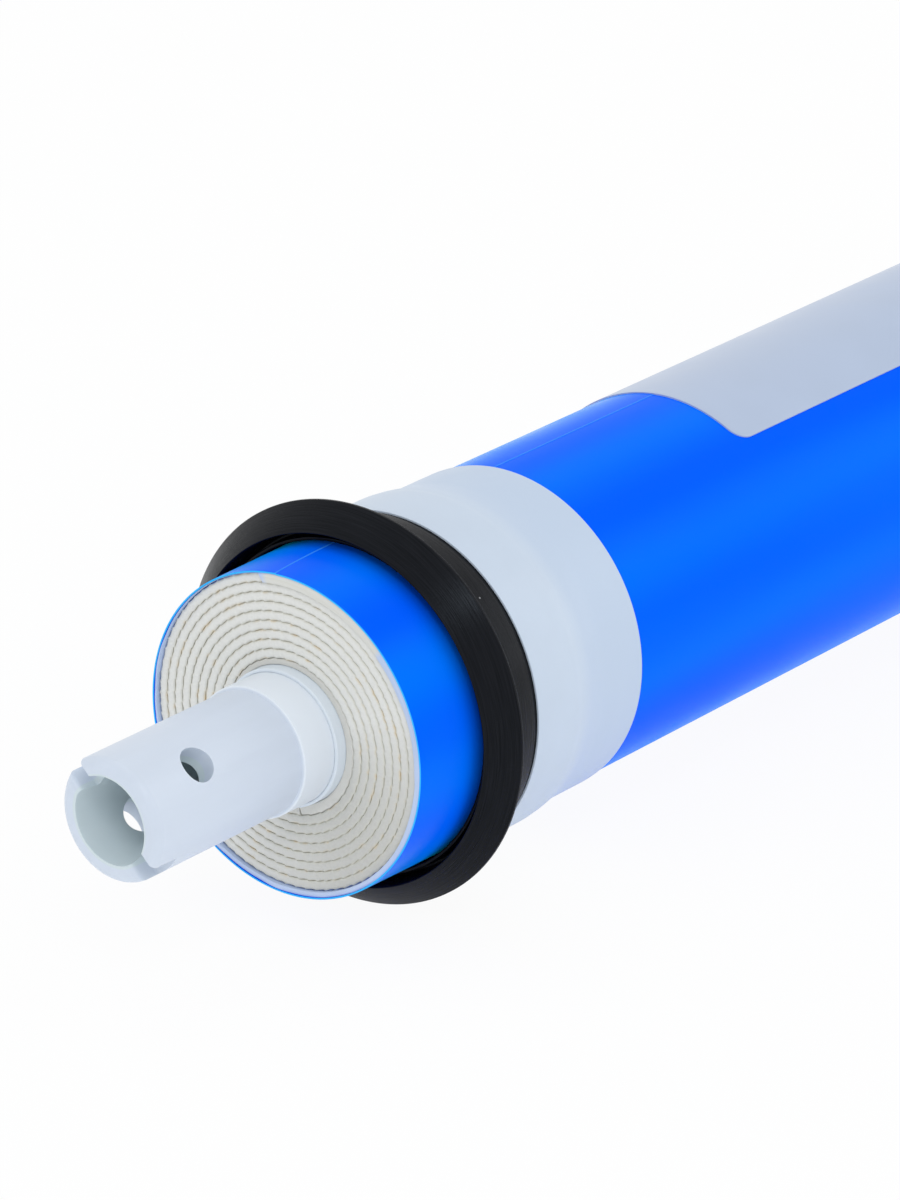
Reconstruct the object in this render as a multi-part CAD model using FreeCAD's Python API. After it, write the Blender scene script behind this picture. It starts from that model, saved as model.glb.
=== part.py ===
import FreeCAD, Part
import math
import os

# Spiral-wound reverse osmosis element of the domestic size.
# Millimetres. The axis lies along +Y with +Z up. The origin is on the axis, half way along the element.
# The end with the brine seal points to -Y, the end with the two O-rings to +Y.
# Stations are distances from the seal end face of the roll, positive into the roll.

# Overall
overall_length = 298.0
seal_spigot_length = 35.6
product_spigot_length = 22.0

# Product water tube
bore_d = 10.4
bore_mouth_d = 12.6
bore_mouth_length = 8.0
spigot_d = 17.2
tube_d = 18.0
seal_shoulder_length = 7.1
product_shoulder_length = 3.0
shoulder_chamfer = 0.3
tip_round = 1.3
product_tip_chamfer = 0.8

# Tip of the seal spigot: a straight slot, square to the cross hole, leaves two lugs of unequal height
slot_width = 4.1
slot_depth = 5.0
slot_floor_round = 0.6
short_lug_drop = 1.3
short_lug_round = 1.1
long_lug_round = 0.3

# Hole through both walls of the seal spigot
cross_hole_d = 5.0
cross_hole_from_tip = 10.8
cross_hole_angle = 44.9

# Collection holes under the roll, each row a quarter turn on from the last
collection_hole_d = 2.0
collection_hole_pitch = 24.0
collection_end_margin = 24.0
collection_row_turn = 90.0

# O-rings on the product spigot
o_ring_cord = 1.8
o_ring_groove_depth = 1.3
o_ring_groove_width = 2.4
o_ring_land = 2.6
o_ring_tip_land = 4.2
o_ring_clearance = 0.02

# Wound layers: seen from the seal end they grow outwards as they run from +Z to +X
core_wrap_thickness = 0.45
core_fill_thickness = 0.37
core_wrap_overhang = 1.0
core_wrap_edge = 0.25
leaf_thickness = 0.95
leaf_recess = 0.6
spacer_thickness = 0.33
spacer_recess = 0.9
layer_clearance = 0.02
wrap_thickness = 0.45
wrap_recess = 0.15
spare_half_turns = 2
half_turn_angle = 180.0
winding_start_angle = 280.0

# Blue film over the roll
film_body_d = 45.2
film_end_drop = 0.35
film_thickness = 0.22
film_taper_length = 25.0
film_lap_angle = 95.6
film_lap_arc = 28.0
film_lap_height = 0.08

# Brine seal, along the axis
seal_lip_front = 10.4
seal_lip_edge = 14.1
seal_base_front = 12.4
seal_groove_bottom = 15.4
seal_lip_root = 18.0
seal_collar_end = 21.8
seal_tail_shoulder = 31.3
seal_tail_end = 36.5
# Brine seal, across the axis: heights above its seat on the film
seal_lip_height = 5.2
seal_mouth_height = 1.5
seal_collar_height = 1.3
seal_tail_height = 0.8
seal_base_thickness = 0.45
seal_groove_width = 0.6
seal_lip_land = 0.4
seal_tail_edge = 0.15
# Hollow of the lip's back: where its curve passes, as parts of the back's height and length
seal_hollow_height = 0.32
seal_hollow_length = 0.42

# White tape over the tail of the seal
tape_front = 22.9
tape_width = 23.8
tape_thickness = 0.25
tape_step_length = 2.0

# Blank label
label_front = 83.4
label_length = 100.0
label_angle = 56.8
label_width = 60.0
label_thickness = 0.12
label_corner = 2.6

# How far a cutter stands out past what it cuts
cutter_reach = 2.0

# Derived sizes
roll_length = overall_length - seal_spigot_length - product_spigot_length
face_y = seal_spigot_length - overall_length / 2
bore_r = bore_d / 2
bore_mouth_r = bore_mouth_d / 2
spigot_r = spigot_d / 2
tube_r = tube_d / 2
core_r = tube_r + layer_clearance + core_wrap_thickness
film_body_r = film_body_d / 2
film_end_r = film_body_r - film_end_drop
film_inner_end_r = film_end_r - film_thickness
film_inner_body_r = film_body_r - film_thickness
wrap_outer_end_r = film_inner_end_r - layer_clearance
wrap_outer_body_r = film_inner_body_r - layer_clearance
winding_pitch = leaf_thickness + spacer_thickness
fill_r = core_r + layer_clearance
winding_start_r = fill_r + core_fill_thickness
winding_limit_r = wrap_outer_end_r - wrap_thickness
half_turns = int(2 * (winding_limit_r - winding_start_r) / winding_pitch) - spare_half_turns
seat_r = film_body_r + film_lap_height + layer_clearance
seal_tail_r = seat_r + seal_tail_height
skin_cutter_r = film_body_r + cutter_reach
seal_tip_y = face_y - seal_spigot_length
cross_hole_y = seal_tip_y + cross_hole_from_tip
product_face_y = face_y + roll_length
product_tip_y = product_face_y + product_spigot_length

AXIS = FreeCAD.Vector(0, 1, 0)
ORIGIN = FreeCAD.Vector(0, 0, 0)


def at(radius, station):
    """A point of a profile: its distance from the axis and its station."""
    return FreeCAD.Vector(radius, face_y + station, 0)


def polar(radius, angle, y, centre_x=0.0):
    """A point at an angle from +X towards +Z."""
    turn = math.radians(angle)
    return FreeCAD.Vector(centre_x + radius * math.cos(turn), y, radius * math.sin(turn))


def turned(points):
    """The solid made by turning a closed outline of points about the axis."""
    outline = Part.makePolygon(points + [points[0]])
    return Part.Face(outline).revolve(ORIGIN, AXIS, 360)


def turned_edges(edges):
    """The solid made by turning an outline of straight and curved edges about the axis."""
    return Part.Face(Part.Wire(edges)).revolve(ORIGIN, AXIS, 360)


def line(start, end):
    return Part.LineSegment(start, end).toShape()


def bend(start, middle, end):
    return Part.Arc(start, middle, end).toShape()


def rod(radius, start, direction, length):
    return Part.makeCylinder(radius, length, start, direction)


def sector(radius, angle, arc, start_y, length):
    """A pie slice about the axis, centred on an angle."""
    slice_frame = FreeCAD.Rotation(FreeCAD.Vector(1, 0, 0), 90)
    piece = Part.makeCylinder(radius, length, ORIGIN, FreeCAD.Vector(0, 0, 1), arc)
    piece.rotate(ORIGIN, FreeCAD.Vector(0, 0, 1), angle - arc / 2)
    piece.Placement = FreeCAD.Placement(FreeCAD.Vector(0, start_y + length, 0), slice_frame) * piece.Placement
    return piece


def tube_body():
    """Tube with a thick middle and two thinner spigots, square at the seal end."""
    shoulder_end = roll_length + product_shoulder_length
    end = roll_length + product_spigot_length
    return turned([
        at(bore_r, bore_mouth_length - seal_spigot_length),
        at(bore_mouth_r, -seal_spigot_length),
        at(spigot_r, -seal_spigot_length),
        at(spigot_r, -seal_shoulder_length),
        at(tube_r, shoulder_chamfer - seal_shoulder_length),
        at(tube_r, shoulder_end - shoulder_chamfer),
        at(spigot_r, shoulder_end),
        at(spigot_r, end - product_tip_chamfer),
        at(spigot_r - product_tip_chamfer, end),
        at(bore_r, end),
    ])


def tip_block(low, high, length):
    """A block over the tip that reaches a length into the tube, between two distances towards the cross hole."""
    reach = spigot_r + cutter_reach
    corner = FreeCAD.Vector(low, seal_tip_y - cutter_reach, -reach)
    block = Part.makeBox(high - low, length + cutter_reach, 2 * reach, corner)
    block.rotate(ORIGIN, AXIS, -cross_hole_angle)
    return block


def cut_lugs(tube):
    """The slot and the shorter lug, with the lugs' corners and the slot's floor rounded."""
    tube = tube.cut(tip_block(-slot_width / 2, slot_width / 2, slot_depth))
    tube = tube.cut(tip_block(-spigot_r - cutter_reach, 0, short_lug_drop))
    floor_y = seal_tip_y + slot_depth
    tube = tube.makeFillet(slot_floor_round, wall_edges(tube, floor_y))
    tube = tube.makeFillet(short_lug_round, wall_edges(tube, seal_tip_y + short_lug_drop))
    return tube.makeFillet(long_lug_round, wall_edges(tube, seal_tip_y))


def wall_edges(tube, y):
    """The edges at one height of the tip that run straight across the tube's wall."""
    return [edge for edge in tube.Edges if crosses_wall(edge) and abs(edge.BoundBox.Center.y - y) < layer_clearance]


def crosses_wall(edge):
    if len(edge.Vertexes) != 2:
        return False
    radii = sorted(math.hypot(vertex.X, vertex.Z) for vertex in edge.Vertexes)
    return radii[0] < bore_mouth_r + layer_clearance and abs(radii[1] - spigot_r) < layer_clearance


def rounded_tip(tip):
    """What a tube with its outer edge rounded at one station fills, from there to the product tip."""
    middle = tip_round * (1 - math.sqrt(0.5))
    end = roll_length + product_spigot_length
    return turned_edges([
        line(at(0, tip), at(spigot_r - tip_round, tip)),
        bend(
            at(spigot_r - tip_round, tip),
            at(spigot_r - middle, tip + middle),
            at(spigot_r, tip + tip_round),
        ),
        line(at(spigot_r, tip + tip_round), at(spigot_r, tip + slot_depth)),
        line(at(spigot_r, tip + slot_depth), at(tube_r, tip + slot_depth)),
        line(at(tube_r, tip + slot_depth), at(tube_r, end)),
        line(at(tube_r, end), at(0, end)),
        line(at(0, end), at(0, tip)),
    ])


def round_lugs(tube):
    """Round the outer edge of each lug at its own height, and merge what is left of one wall."""
    long_half = tip_block(0, spigot_r + cutter_reach, slot_depth)
    long_side = rounded_tip(-seal_spigot_length).common(long_half)
    rounded = tube.common(rounded_tip(short_lug_drop - seal_spigot_length).fuse(long_side))
    return rounded.removeSplitter()


def product_tube():
    """Tube with lugs, a cross hole, collection holes and O-ring grooves."""
    tube = round_lugs(cut_lugs(tube_body()))

    across = polar(1, cross_hole_angle, 0)
    start = polar(-tube_r, cross_hole_angle, cross_hole_y)
    tube = tube.cut(rod(cross_hole_d / 2, start, across, 2 * tube_r))

    rows = int((roll_length - 2 * collection_end_margin) / collection_hole_pitch) + 1
    used = (rows - 1) * collection_hole_pitch
    for row in range(rows):
        y = face_y + (roll_length - used) / 2 + row * collection_hole_pitch
        angle = cross_hole_angle + collection_row_turn * (row % 2)
        through = rod(collection_hole_d / 2, polar(-tube_r, angle, y), polar(1, angle, 0), 2 * tube_r)
        tube = tube.cut(through)

    for groove_y in groove_starts():
        start = FreeCAD.Vector(0, groove_y, 0)
        groove = rod(spigot_r + cutter_reach, start, AXIS, o_ring_groove_width)
        floor = rod(spigot_r - o_ring_groove_depth, start, AXIS, o_ring_groove_width)
        tube = tube.cut(groove.cut(floor))
    return tube


def groove_starts():
    """Where the inner and the outer O-ring groove begin."""
    outer = product_tip_y - o_ring_tip_land - o_ring_groove_width
    inner = outer - o_ring_land - o_ring_groove_width
    return [inner, outer]


def o_ring(groove_y):
    """A ring of round cord that sits on its groove's floor."""
    cord_r = o_ring_cord / 2
    ring_r = spigot_r - o_ring_groove_depth + o_ring_clearance + cord_r
    middle = FreeCAD.Vector(0, groove_y + o_ring_groove_width / 2, 0)
    return Part.makeTorus(ring_r, cord_r, middle, AXIS)


def core_wrap():
    """First wrap of carrier cloth and tape round the tube, showing as a ring at both ends."""
    inner = tube_r + layer_clearance
    start = -core_wrap_overhang
    end = roll_length + core_wrap_overhang
    return turned([
        at(inner, start),
        at(core_r - core_wrap_edge, start),
        at(core_r, start + core_wrap_edge),
        at(core_r, end - core_wrap_edge),
        at(core_r - core_wrap_edge, end),
        at(inner, end),
    ])


def arc_centre_x(half_turn):
    """Half turns are centred a quarter pitch to either side, so that they meet tangent."""
    side = 1 if half_turn % 2 else -1
    return side * winding_pitch / 4


def spiral_arc(half_turn, offset, y):
    """One half turn of the winding, offset outwards from the winding's inner surface."""
    radius = winding_start_r + winding_pitch / 4 + half_turn * winding_pitch / 2 + offset
    centre_x = arc_centre_x(half_turn)
    first = half_turn_angle * half_turn
    steps = (first, first + half_turn_angle / 2, first + half_turn_angle)
    turn = FreeCAD.Rotation(AXIS, -winding_start_angle)
    return [turn.multVec(polar(radius, -step, y, centre_x)) for step in steps]


def wound_sheet(offset, thickness, recess):
    """A sheet of one thickness wound as a spiral: all its turns are one solid."""
    y = face_y + recess
    inner = [spiral_arc(k, offset, y) for k in range(half_turns)]
    outer = [spiral_arc(k, offset + thickness, y) for k in range(half_turns)]
    edges = [bend(*points) for points in inner]
    edges.append(line(inner[-1][2], outer[-1][2]))
    edges += [bend(*reversed(points)) for points in reversed(outer)]
    edges.append(line(outer[0][0], inner[0][0]))
    section = Part.Face(Part.Wire(edges))
    return section.extrude(AXIS * (roll_length - 2 * recess))


def membrane_leaf():
    """The wound leaf, with the glued cloth that fills the room between the core and its first turn."""
    length = roll_length - 2 * leaf_recess
    first, second = [spiral_arc(k, 0, face_y + leaf_recess) for k in (0, 1)]
    edges = [bend(*first), bend(*second), line(second[2], first[0])]
    filling = Part.Face(Part.Wire(edges)).extrude(AXIS * length)
    start = FreeCAD.Vector(0, face_y - cutter_reach, 0)
    filling = filling.cut(rod(fill_r, start, AXIS, roll_length + 2 * cutter_reach))
    return wound_sheet(0, leaf_thickness, leaf_recess).fuse(filling).removeSplitter()


def winding_core(y, length):
    """Everything inside the winding's outer surface, as one prism."""
    last = [spiral_arc(k, winding_pitch, y) for k in (half_turns - 2, half_turns - 1)]
    edges = [bend(*points) for points in last]
    edges.append(line(last[1][2], last[0][0]))
    return Part.Face(Part.Wire(edges)).extrude(AXIS * length)


def inner_wrap():
    """White jacket that fills the space between the winding and the film."""
    start = wrap_recess
    end = roll_length - wrap_recess
    jacket = turned([
        at(0, start),
        at(wrap_outer_end_r, start),
        at(wrap_outer_body_r, film_taper_length),
        at(wrap_outer_body_r, roll_length - film_taper_length),
        at(wrap_outer_end_r, end),
        at(0, end),
    ])
    return jacket.cut(winding_core(face_y - cutter_reach, roll_length + 2 * cutter_reach))


def film_profile(growth):
    """Outline of the film's outer surface, grown outwards, from one face to the other."""
    return [
        at(film_end_r + growth, 0),
        at(film_body_r + growth, film_taper_length),
        at(film_body_r + growth, roll_length - film_taper_length),
        at(film_end_r + growth, roll_length),
    ]


def outer_film():
    """Film wound tight over the roll, with a free edge that stands one thickness proud."""
    inside = film_profile(-film_thickness)
    film = turned(film_profile(0) + inside[::-1])
    lap = turned(film_profile(film_lap_height) + inside[::-1])
    lap_slice = sector(skin_cutter_r, film_lap_angle + film_lap_arc / 2, film_lap_arc, face_y, roll_length)
    return film.fuse(lap.common(lap_slice)).removeSplitter()


def brine_seal():
    """Rubber U-cup: a bevelled lip that flares to a sharp edge, a groove, a collar and a tail."""
    lip_r = seat_r + seal_lip_height
    mouth_r = seat_r + seal_mouth_height
    collar_r = seat_r + seal_collar_height
    base_r = seat_r + seal_base_thickness
    groove_r = base_r + seal_groove_width
    groove_middle = at((base_r + groove_r) / 2, seal_groove_bottom + seal_groove_width / 2)
    back_start = at(lip_r, seal_lip_edge + seal_lip_land)
    back_end = at(collar_r, seal_lip_root)
    back_length = seal_lip_root - seal_lip_edge - seal_lip_land
    back_middle = at(
        collar_r + seal_hollow_height * (lip_r - collar_r),
        seal_lip_root - seal_hollow_length * back_length,
    )
    corners_front = [
        at(seat_r, seal_tail_end),
        at(seat_r, seal_base_front),
        at(base_r, seal_base_front),
        at(base_r, seal_groove_bottom),
    ]
    corners_lip = [
        at(groove_r, seal_groove_bottom),
        at(mouth_r, seal_lip_front),
        at(lip_r, seal_lip_edge),
        back_start,
    ]
    corners_tail = [
        back_end,
        at(collar_r, seal_collar_end),
        at(seal_tail_r, seal_collar_end),
        at(seal_tail_r, seal_tail_shoulder),
        at(seat_r + seal_tail_edge, seal_tail_end),
        at(seat_r, seal_tail_end),
    ]
    edges = [line(a, b) for a, b in zip(corners_front, corners_front[1:])]
    edges.append(bend(corners_front[-1], groove_middle, corners_lip[0]))
    edges += [line(a, b) for a, b in zip(corners_lip, corners_lip[1:])]
    edges.append(bend(back_start, back_middle, back_end))
    edges += [line(a, b) for a, b in zip(corners_tail, corners_tail[1:])]
    return turned_edges(edges)


def seal_tape():
    """White tape, tight over the seal's tail and down onto the film behind it."""
    end = tape_front + tape_width
    inside = [
        at(seal_tail_r + layer_clearance, tape_front),
        at(seal_tail_r + layer_clearance, seal_tail_shoulder),
        at(seat_r + seal_tail_edge + layer_clearance, seal_tail_end),
        at(seat_r, seal_tail_end + tape_step_length),
        at(seat_r, end),
    ]
    outside = [point + FreeCAD.Vector(tape_thickness, 0, 0) for point in inside]
    return turned(inside + outside[::-1])


def label():
    """Blank label laid round the film, with rounded corners."""
    arc = math.degrees(label_width / film_body_r)
    inner = seat_r
    outer = seat_r + label_thickness
    band = turned([
        at(inner, label_front),
        at(outer, label_front),
        at(outer, label_front + label_length),
        at(inner, label_front + label_length),
    ])
    middle = label_angle + arc / 2
    start_y = face_y + label_front
    sheet = band.common(sector(skin_cutter_r, middle, arc, start_y, label_length))
    corner_arc = math.degrees(label_corner / film_body_r)
    end_y = start_y + label_length
    for angle, inward in ((label_angle, 1), (label_angle + arc, -1)):
        for y, along in ((start_y, 1), (end_y, -1)):
            sheet = sheet.cut(corner_cutter(angle + inward * corner_arc, y + along * label_corner, inward, along))
    return sheet


def corner_cutter(angle, y, inward, along):
    """What lies outside a rounded corner, with the corner's centre at an angle and a length."""
    reach = 2 * label_corner
    block = Part.makeBox(reach, reach, cutter_reach)
    # The block covers the corner's quarter: along -Y or +Y and towards the label's edge.
    block.translate(FreeCAD.Vector(-reach if along > 0 else 0, 0 if inward < 0 else -reach, 0))
    block = block.cut(Part.makeCylinder(label_corner, cutter_reach))
    local_x = AXIS
    local_z = polar(1, angle, 0)
    local_y = polar(1, angle + 90, 0)
    frame = FreeCAD.Matrix(
        local_x.x, local_y.x, local_z.x, 0,
        local_x.y, local_y.y, local_z.y, 0,
        local_x.z, local_y.z, local_z.z, 0,
        0, 0, 0, 1,
    )
    placed = block.transformGeometry(frame)
    placed.translate(polar(film_body_r - cutter_reach / 2, angle, y))
    return placed


def main():
    os.makedirs("parts", exist_ok=True)
    inner_groove, outer_groove = groove_starts()
    pieces = {
        "product_tube": product_tube(),
        "inner_o_ring": o_ring(inner_groove),
        "outer_o_ring": o_ring(outer_groove),
        "core_wrap": core_wrap(),
        "membrane_leaf": membrane_leaf(),
        "feed_spacer": wound_sheet(leaf_thickness, spacer_thickness, spacer_recess),
        "inner_wrap": inner_wrap(),
        "outer_film": outer_film(),
        "brine_seal": brine_seal(),
        "seal_tape": seal_tape(),
        "label": label(),
    }
    for name, shape in pieces.items():
        shape.exportStep(f"parts/{name}.step")
        print(name, "solids", len(shape.Solids), "volume", round(shape.Volume, 1), "valid", shape.isValid())


main()
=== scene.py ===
"""A spiral-wound reverse osmosis element of the domestic size, dressed for a studio view.

Lengths are in metres. The axis lies along +Y with +Z up, and the end with the brine seal points to -Y.
Stations are distances from the seal end face of the roll, positive into the roll.
Angles are about the axis, from +X towards +Z.
"""
import math

import bmesh
import bpy
import numpy as np
from bpy.props import FloatProperty, FloatVectorProperty, IntProperty, PointerProperty
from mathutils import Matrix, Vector


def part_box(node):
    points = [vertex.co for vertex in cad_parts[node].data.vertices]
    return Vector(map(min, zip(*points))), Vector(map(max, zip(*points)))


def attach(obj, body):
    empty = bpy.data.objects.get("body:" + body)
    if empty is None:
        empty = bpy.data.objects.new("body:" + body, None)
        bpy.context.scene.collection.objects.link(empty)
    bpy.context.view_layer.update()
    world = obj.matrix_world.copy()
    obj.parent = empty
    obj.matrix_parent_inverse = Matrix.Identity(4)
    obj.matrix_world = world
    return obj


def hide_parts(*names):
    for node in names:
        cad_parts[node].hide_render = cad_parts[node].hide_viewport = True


bl_info = {
    "name": "Reverse osmosis element",
    "version": (1, 0, 0),
    "blender": (4, 5, 0),
    "location": "View3D > Sidebar > Element",
    "description": "Dresses the element's roll, seal, tape and tube, and sets up its studio",
    "category": "Object",
}

MM = 0.001
ROOM = 0.02 * MM  # between two pieces that lie on each other
BODY = "root"

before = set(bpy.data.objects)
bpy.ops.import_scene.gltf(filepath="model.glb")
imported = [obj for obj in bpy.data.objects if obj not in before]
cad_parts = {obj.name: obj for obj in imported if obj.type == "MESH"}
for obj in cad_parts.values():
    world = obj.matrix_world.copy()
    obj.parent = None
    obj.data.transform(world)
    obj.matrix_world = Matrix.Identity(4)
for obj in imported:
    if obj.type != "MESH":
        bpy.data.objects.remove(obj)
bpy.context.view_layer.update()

face_y, product_face_y = (corner.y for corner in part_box("outer_film"))
roll_length = product_face_y - face_y
leaf_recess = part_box("membrane_leaf")[0].y - face_y


# Properties

def length(name, millimetres, description):
    """A length with its default given in millimetres."""
    return FloatProperty(
        name=name, description=description, default=millimetres * MM, unit="LENGTH", precision=5
    )


def turn_angle(name, degrees, description):
    """An angle about the axis with its default given in degrees."""
    return FloatProperty(
        name=name, description=description, default=math.radians(degrees), subtype="ANGLE"
    )


def portion(name, value, description):
    """A share between nought and one."""
    return FloatProperty(name=name, description=description, default=value, min=0.0, max=1.0)


def colour(name, value, description):
    """A linear colour."""
    return FloatVectorProperty(
        name=name, description=description, default=value, size=3, min=0.0, max=1.0, subtype="COLOR"
    )


class TubeSettings(bpy.types.PropertyGroup):
    plastic: colour("Plastic", (0.605, 0.675, 0.78), "Cool white of the moulded tube")
    collar: colour("Collar", (0.75, 0.81, 0.88), "White of the tube's thick middle")
    bore_colour: colour("Bore", (0.60, 0.69, 0.73), "Light that comes through the milky wall into the bore")
    bore_radius: length("Bore radius", 6.4, "Radius up to which the tube is lit like that")
    collar_radius: length("Collar radius", 8.7, "Radius past which the tube is whiter")
    crease_angle: turn_angle("Crease angle", 32.0, "Edges that turn more than this stay sharp")
    wrap_radius: length("Core wrap radius", 9.47, "Outer radius of the first wrap round the tube")
    wrap_inner: length("Core wrap bore", 9.02, "Inner radius of the first wrap")
    wrap_overhang: length("Core wrap overhang", 1.0, "How far the first wrap stands out of each face")
    wrap_sag: length("Core wrap sag", 0.05, "How far it swells and shrinks round the tube")
    blend: length("Blend", 0.2, "Width over which one white gives way to the next")
    wrap_colour: colour("Core wrap", (0.70, 0.77, 0.84), "White tape of the first wrap")


class WindingSettings(bpy.types.PropertyGroup):
    start_radius: length("Start radius", 9.86, "Where the innermost turn begins")
    start_angle: turn_angle("Start angle", 280.0, "Where the innermost turn begins, about the axis")
    leaf: length("Leaf", 0.95, "Thickness of the membrane leaf")
    spacer: length("Spacer", 0.33, "Thickness of the feed spacer between two turns")
    half_turns: IntProperty(name="Half turns", description="Length of the winding", default=17, min=2)
    step: length("Step", 0.21, "Distance between two sections along the winding")
    slit: length("Slit", 0.13, "Width of the open slit between two turns at the face")
    slit_sway: length("Slit sway", 0.075, "How far a slit slants outwards from one strand to the next")
    strand_pitch: length("Strand pitch", 1.65, "Distance between two strands of the net")
    net_depth: length("Net depth", 0.40, "How deep the slit is between two strands")
    strand_depth: length("Strand depth", 0.12, "How deep a strand's cut end lies in the slit")
    dome: length("Edge dome", 0.16, "How far the middle of a cut edge stands out of its sides")
    dome_share: portion("Dome share", 0.30, "Part of a cut edge that falls away at each side")
    leaf_relief: length("Leaf relief", 0.10, "How unevenly the cut edges stand at the face")
    twill_pitch: length("Twill pitch", 0.82, "Distance between the slanting ridges in a cut edge")
    twill_height: length("Twill height", 0.022, "Height of those ridges")
    fade_angle: turn_angle("Fade angle", 38.0, "Side of the face where the slits are pressed nearly shut")
    fade: portion("Fade", 0.5, "How far the slits are pressed shut there")
    # Painted shade: these two settings darken one side of the face towards the shade colour.
    shade_angle: turn_angle("Shaded angle", -48.0, "Side of the face where glue has dulled the cut edges")
    shade_colour: colour("Shaded leaf", (0.50, 0.50, 0.47), "Cut edges with glue on them")
    leaf_colour: colour("Leaf", (0.745, 0.75, 0.725), "Cream of the coated sheet")
    # Painted shade: the cut edges are painted darker where they fall away to the slits.
    valley_colour: colour("Valley", (0.61, 0.61, 0.55), "Cream towards the slits")
    core_colour: colour("Core cloth", (0.62, 0.62, 0.59), "Glue-soaked cloth next to the core")
    stain_colour: colour("Stain", (0.48, 0.385, 0.24), "Dried glue at the cut edges")
    net_colour: colour("Net", (0.64, 0.62, 0.54), "Net in the slits")
    outer_net_colour: colour("Outer net", (0.16, 0.24, 0.60), "Net lit through the blue film")
    outer_radius: length("Outer turn", 20.75, "Radius past which the film tints the net")
    tint_width: length("Tint width", 0.25, "Width over which that tint begins")
    seam_angle: turn_angle("Seam angle", 72.0, "Middle of the jacket's end, where it is not yet tinted")
    jacket_recess: length("Jacket recess", 0.15, "How far the jacket's rims lie behind the film's")
    # Painted light: the white jacket is painted blue for the light that comes through the film.
    wrap_colour: colour("Jacket", (0.52, 0.63, 0.86), "Thin white jacket under the film")


class FilmSettings(bpy.types.PropertyGroup):
    end_radius: length("End radius", 22.25, "Outer radius of the film at the faces")
    body_radius: length("Body radius", 22.60, "Outer radius of the film along the roll")
    thickness: length("Thickness", 0.22, "Thickness of the film")
    taper: length("Taper", 25.0, "Length over which the film widens from a face")
    lap_angle: turn_angle("Lap angle", 95.6, "Where the film's free edge lies")
    lap_arc: turn_angle("Lap arc", 28.0, "How far round the step of the free edge fades")
    lap_height: length("Lap height", 0.07, "How far the free edge stands proud")
    lap_skew: length("Lap skew", 0.9, "How far the free edge runs askew in front of the seal")
    skew_reach: length("Skew reach", 7.0, "How fast that fades along the roll")
    film: colour("Film", (0.0, 0.108, 1.0), "Blue of the film")
    # Painted reflection: the bands of this lighter blue stand in for the studio lights mirrored in the film.
    reflected: colour("Reflected film", (0.0, 0.165, 1.0), "Lighter blue of the bands where the film is drawn tightest")
    bands: IntProperty(name="Bands", description="Number of taut bands round the roll", default=9, min=1)
    band_angle: turn_angle("Band angle", 35.0, "Middle of one taut band")
    band_strength: portion("Band strength", 0.34, "How strongly the bands show")
    edge: colour("Free edge", (0.04, 0.27, 0.95), "Paler blue along the free edge")
    # Painted highlight: the cut rims are painted bright where light catches the film's edge.
    rim: colour("Cut rim", (0.045, 0.50, 1.0), "Bright blue of the cut rims")


class SealSettings(bpy.types.PropertyGroup):
    lip_front: length("Lip front", 10.4, "Station of the bevel's inner edge")
    lip_edge: length("Lip edge", 14.1, "Station of the sharp lip")
    lip_land: length("Lip land", 0.4, "Width of the rim behind the sharp lip")
    base_front: length("Base front", 12.4, "Station where the base begins")
    groove_bottom: length("Groove bottom", 15.4, "Station of the groove's floor")
    lip_root: length("Lip root", 18.0, "Station where the lip's back meets the collar")
    collar_end: length("Collar end", 21.8, "Station where the collar ends")
    tail_shoulder: length("Tail shoulder", 31.3, "Station where the tail starts to thin out")
    tail_end: length("Tail end", 36.5, "Station of the tail's end")
    lip_radius: length("Lip radius", 27.9, "Radius of the sharp lip")
    mouth_radius: length("Mouth radius", 24.2, "Radius of the bevel's inner edge")
    collar_radius: length("Collar radius", 24.0, "Radius of the collar behind the lip")
    tail_radius: length("Tail radius", 23.5, "Radius of the tail under the tape")
    seat_radius: length("Seat radius", 22.7, "Inner radius, on the film")
    base_radius: length("Base radius", 23.15, "Outer radius of the base inside the groove")
    groove_width: length("Groove width", 0.6, "Width of the groove's floor")
    hollow_inwards: length("Hollow inwards", 0.42, "How far the lip's back is hollowed towards the axis")
    hollow_forwards: length("Hollow forwards", 0.30, "How far it is hollowed towards the bevel")
    tail_edge: length("Tail edge", 0.15, "Thickness of the tail at its end")
    out_of_round: length("Out of round", 0.30, "How far the soft lip sags inwards from a true circle")
    rubber: colour("Rubber", (0.006, 0.006, 0.0075), "Black moulded rubber")


class TapeSettings(bpy.types.PropertyGroup):
    thickness: length("Thickness", 0.25, "Thickness of the white tape")
    clearance: length("Clearance", 0.02, "Room between the tape and what it covers")
    crease: length("Crease", 32.4, "Station of the crease where the tape leaves the seal's tail")
    crease_depth: length("Crease depth", 0.07, "How deep the crease is")
    crease_width: length("Crease width", 0.35, "How wide the crease is")
    step_length: length("Step length", 2.0, "How far past the seal's tail the tape comes down to the film")
    tint_length: length("Tint length", 3.0, "How far past the crease the tape takes on the film's tint")
    tape: colour("Tape", (0.545, 0.635, 0.755), "White vinyl")
    tape_on_film: colour("Tape on the film", (0.50, 0.60, 0.745), "White vinyl right over the blue film")


class LabelSettings(bpy.types.PropertyGroup):
    angle: turn_angle("Start angle", 56.8, "Where the label's near edge lies")
    width: length("Width", 60.0, "Width of the label round the roll")
    corner: length("Corner", 2.6, "Radius of its corners")
    thickness: length("Thickness", 0.12, "Thickness of the label")
    rim: length("Rim", 0.15, "Width over which the label thins out at its sides")
    stock: colour("Stock", (0.415, 0.50, 0.66), "Blank pale label stock")


class RingSettings(bpy.types.PropertyGroup):
    cord: length("Cord", 1.8, "Thickness of an O-ring's cord")
    rubber: colour("Rubber", (0.016, 0.016, 0.018), "Black O-ring rubber")


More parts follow.
